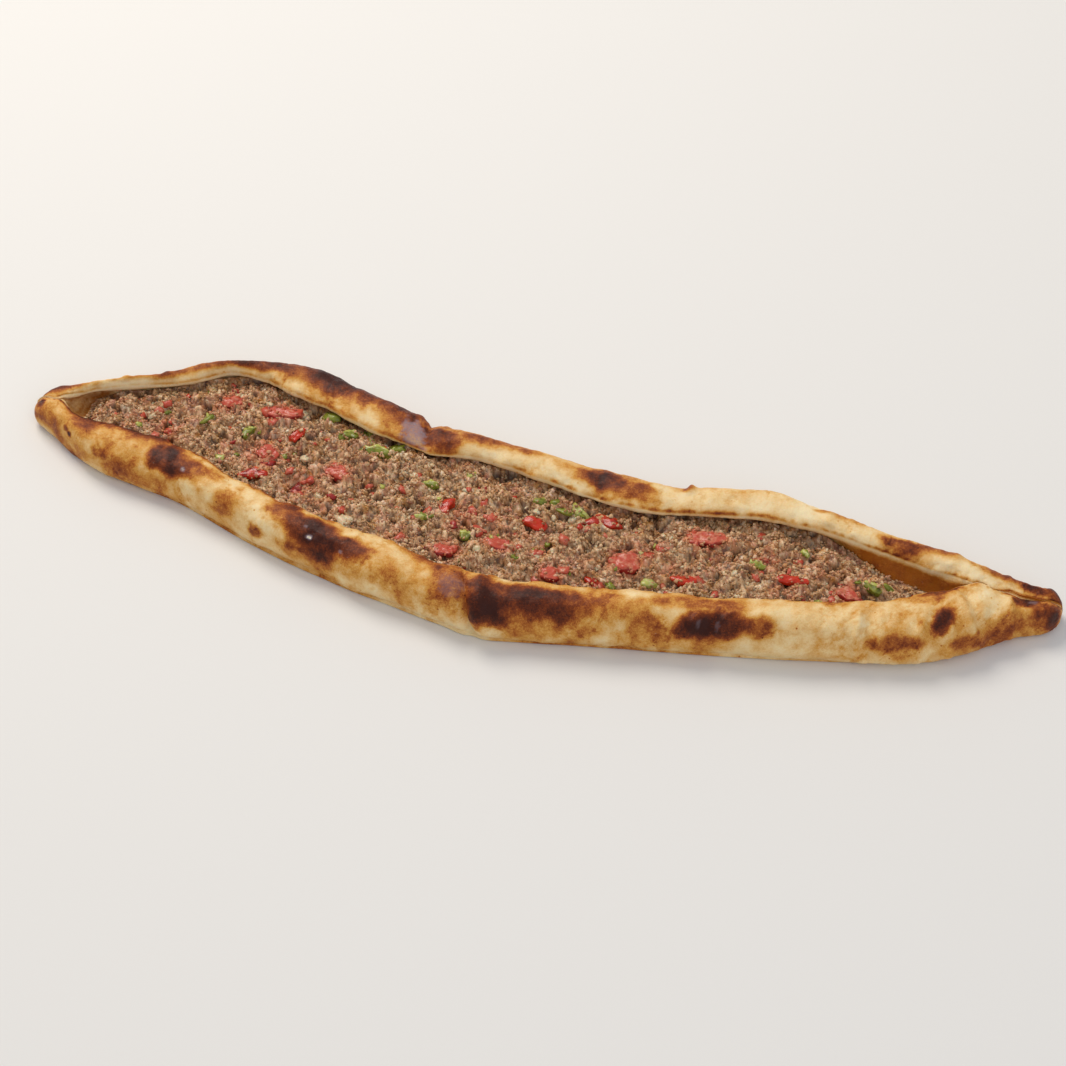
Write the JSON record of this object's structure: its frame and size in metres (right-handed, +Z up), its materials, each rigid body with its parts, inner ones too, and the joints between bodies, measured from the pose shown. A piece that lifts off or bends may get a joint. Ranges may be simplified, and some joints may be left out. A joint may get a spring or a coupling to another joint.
{
  "type": "turkish pide",
  "caption": "Long boat-shaped flatbread with folded, charred rims and pinched ends, filled with minced meat, tomato and pepper.",
  "frame": {"origin": "on the plane the bread rests on, under the middle of its outline", "axes": "+X along the boat, +Y to its far long side, +Z up"},
  "size_m": [0.463, 0.1256, 0.0213],
  "materials": {
    "crust": "baked dough, matt with a faint oil sheen",
    "filling": "moist minced meat",
    "tomato": "wet, glossy",
    "red_pepper": "wet, glossy",
    "green_pepper": "wet, glossy"
  },
  "bodies": {
    "root": {"crust": "crust", "filling": "filling", "green_pepper_1": "green_pepper", "green_pepper_2": "green_pepper", "green_pepper_3": "green_pepper", "green_pepper_4": "green_pepper", "green_pepper_5": "green_pepper", "green_pepper_6": "green_pepper", "green_pepper_7": "green_pepper", "green_pepper_8": "green_pepper", "green_pepper_9": "green_pepper", "red_pepper_1": "red_pepper", "red_pepper_2": "red_pepper", "red_pepper_3": "red_pepper", "red_pepper_4": "red_pepper", "red_pepper_5": "red_pepper", "red_pepper_6": "red_pepper", "red_pepper_7": "red_pepper", "red_pepper_8": "red_pepper", "tomato_1": "tomato", "tomato_2": "tomato", "tomato_3": "tomato", "tomato_4": "tomato", "tomato_5": "tomato", "tomato_6": "tomato", "tomato_7": "tomato", "tomato_8": "tomato", "tomato_9": "tomato", "tomato_10": "tomato"}
  },
  "joints": []
}
